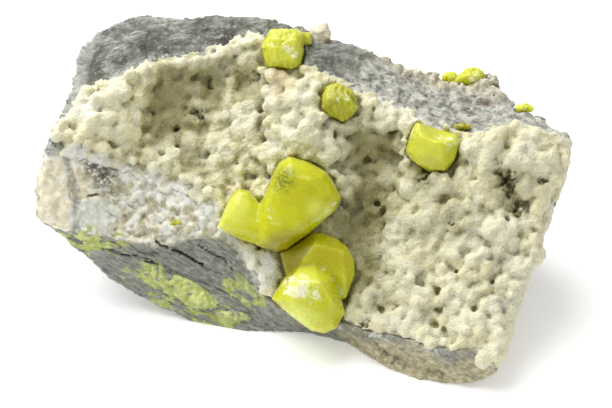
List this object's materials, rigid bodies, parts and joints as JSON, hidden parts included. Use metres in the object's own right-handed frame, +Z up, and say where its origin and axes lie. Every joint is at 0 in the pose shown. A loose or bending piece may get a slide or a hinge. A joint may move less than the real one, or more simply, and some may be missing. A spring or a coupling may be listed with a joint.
{
  "type": "native sulfur crystal",
  "caption": "Mineral specimen: bright yellow sulfur crystals seated in a cream botryoidal carbonate crust on a block of grey and beige limestone, lying on its flat base.",
  "frame": {"origin": "middle of the footprint, on the surface that the flat base rests on", "axes": "+X along the block towards its right end, +Y towards the back, +Z up; the drusy face with the crystals looks towards -Y and up"},
  "size_m": [0.1118, 0.061, 0.0533],
  "materials": {
    "rock": "matte",
    "crust": "matte",
    "sulfur": "satin",
    "vein": "matte"
  },
  "bodies": {
    "root": {"host_rock": "rock", "carbonate_crust": "crust", "sulfur_crystal_crest": "sulfur", "sulfur_crystal_notch": "sulfur", "sulfur_crystal_right": "sulfur", "sulfur_crystal_large": "sulfur", "sulfur_crystal_lower_pair": "sulfur", "sulfur_crystal_back": "sulfur", "sulfur_crystal_far": "sulfur", "sulfur_crystal_ridge": "sulfur", "sulfur_bead": "sulfur", "sulfur_vein_left": "vein", "sulfur_vein_middle": "vein", "sulfur_vein_base": "vein"}
  },
  "joints": []
}
